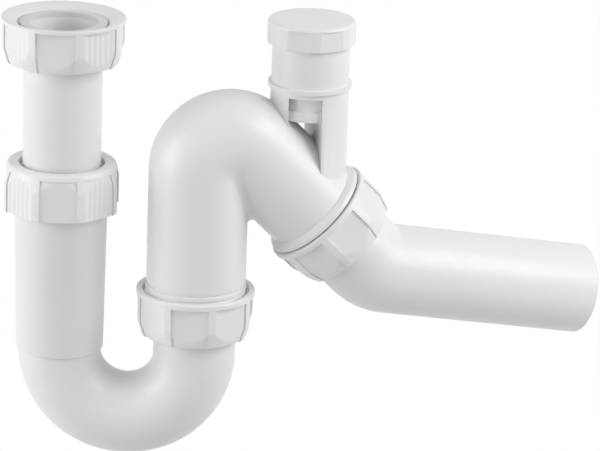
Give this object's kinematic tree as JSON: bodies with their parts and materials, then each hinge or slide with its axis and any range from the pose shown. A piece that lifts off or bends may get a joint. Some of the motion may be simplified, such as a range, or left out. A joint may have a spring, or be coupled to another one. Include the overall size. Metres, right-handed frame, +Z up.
{
  "type": "sink trap",
  "caption": "Adjustable tubular swivel trap for a sink: union nuts join an inlet tube, a J-bend, a folded upper bend with an air valve, and a bent outlet pipe.",
  "frame": {"origin": "centre of the inlet nut's open mouth, where the sink waste enters", "axes": "+Z up out of the inlet nut, +X from the inlet leg towards the riser and the outlet side"},
  "size_m": [0.3113, 0.1251, 0.2327],
  "materials": {
    "white_polypropylene": "satin injection-moulded and extruded white polypropylene",
    "seal_rubber": "matt dark sealing rubber",
    "washer_elastomer": "matt pale grey sealing elastomer"
  },
  "bodies": {
    "inlet_nut": {"inlet_nut": "white_polypropylene"},
    "inlet_washer": {"inlet_washer": "washer_elastomer"},
    "inlet_tube": {"inlet_tube": "white_polypropylene"},
    "adjuster_nut": {"adjuster_nut": "white_polypropylene"},
    "adjuster_slip_ring": {"adjuster_slip_ring": "white_polypropylene"},
    "adjuster_seal": {"adjuster_seal": "seal_rubber"},
    "j_bend": {"j_bend": "white_polypropylene"},
    "swivel_nut": {"swivel_nut": "white_polypropylene"},
    "swivel_slip_ring": {"swivel_slip_ring": "white_polypropylene"},
    "swivel_seal": {"swivel_seal": "seal_rubber"},
    "upper_bend": {"upper_bend": "white_polypropylene", "valve_body": "white_polypropylene", "valve_body_seal": "seal_rubber"},
    "outlet_nut": {"outlet_nut": "white_polypropylene"},
    "outlet_slip_ring": {"outlet_slip_ring": "white_polypropylene"},
    "outlet_seal": {"outlet_seal": "seal_rubber"},
    "outlet_pipe": {"outlet_pipe": "white_polypropylene"},
    "valve_diaphragm": {"valve_diaphragm": "seal_rubber"},
    "cap_gasket": {"cap_gasket": "seal_rubber"},
    "valve_cap": {"valve_cap": "white_polypropylene"}
  },
  "joints": [
    {"name": "inlet_nut_drop", "type": "slide", "parent": "inlet_nut", "child": "inlet_washer", "axis": [0, 0, 1], "range_m": [-0.0119, 0]},
    {"name": "inlet_turn", "type": "hinge", "parent": "inlet_washer", "child": "inlet_tube", "pos_m": [0, 0, -0.0026], "axis": [0, 0, 1], "continuous": true},
    {"name": "depth_adjustment", "type": "slide", "parent": "inlet_tube", "child": "adjuster_seal", "axis": [0, 0, 1], "range_m": [-0.02, 0.044]},
    {"name": "adjuster_turn", "type": "hinge", "parent": "adjuster_seal", "child": "j_bend", "pos_m": [0, 0, -0.085], "axis": [0, 0, 1], "continuous": true},
    {"name": "adjuster_nut_travel", "type": "slide", "parent": "j_bend", "child": "adjuster_slip_ring", "axis": [0, 0, 1], "range_m": [0, 0.00693]},
    {"name": "adjuster_nut_turn", "type": "hinge", "parent": "adjuster_slip_ring", "child": "adjuster_nut", "pos_m": [0, 0, -0.09], "axis": [0, 0, 1], "range_deg": [0, 1080]},
    {"name": "swivel_height", "type": "slide", "parent": "j_bend", "child": "swivel_seal", "axis": [0, 0, 1], "range_m": [-0.008, 0.01]},
    {"name": "swivel_turn", "type": "hinge", "parent": "swivel_seal", "child": "upper_bend", "pos_m": [0.07, 0, -0.141], "axis": [0, 0, 1], "range_deg": [-127, 97]},
    {"name": "swivel_nut_travel", "type": "slide", "parent": "upper_bend", "child": "swivel_slip_ring", "axis": [0, 0, -1], "range_m": [0, 0.00693]},
    {"name": "swivel_nut_turn", "type": "hinge", "parent": "swivel_slip_ring", "child": "swivel_nut", "pos_m": [0.07, 0, -0.141], "axis": [0, 0, -1], "range_deg": [0, 1080]},
    {"name": "outlet_turn", "type": "hinge", "parent": "upper_bend", "child": "outlet_seal", "pos_m": [0.13017, 0.01612, -0.1021], "axis": [0.683, 0.183, -0.7071], "continuous": true},
    {"name": "outlet_depth", "type": "slide", "parent": "outlet_seal", "child": "outlet_pipe", "axis": [0.683, 0.183, -0.7071], "range_m": [-0.008, 0.01]},
    {"name": "outlet_nut_travel", "type": "slide", "parent": "upper_bend", "child": "outlet_slip_ring", "axis": [0.683, 0.183, -0.7071], "range_m": [0, 0.00693]},
    {"name": "outlet_nut_turn", "type": "hinge", "parent": "outlet_slip_ring", "child": "outlet_nut", "pos_m": [0.13017, 0.01612, -0.1021], "axis": [0.683, 0.183, -0.7071], "range_deg": [0, 1080]},
    {"name": "cap_travel", "type": "slide", "parent": "upper_bend", "child": "cap_gasket", "axis": [0, 0, 1], "range_m": [0, 0.003]},
    {"name": "cap_turn", "type": "hinge", "parent": "cap_gasket", "child": "valve_cap", "pos_m": [0.12458, 0.01462, 0], "axis": [0, 0, 1], "range_deg": [0, 540]},
    {"name": "diaphragm_lift", "type": "slide", "parent": "upper_bend", "child": "valve_diaphragm", "axis": [0, 0, 1], "range_m": [0, 0.003]}
  ],
  "couplings": [
    {"joint": "adjuster_nut_turn", "follows": "adjuster_nut_travel", "rad_per_m": 2721.2},
    {"joint": "swivel_nut_turn", "follows": "swivel_nut_travel", "rad_per_m": 2721.2},
    {"joint": "outlet_nut_turn", "follows": "outlet_nut_travel", "rad_per_m": 2721.2},
    {"joint": "cap_turn", "follows": "cap_travel", "rad_per_m": 3141.6}
  ]
}
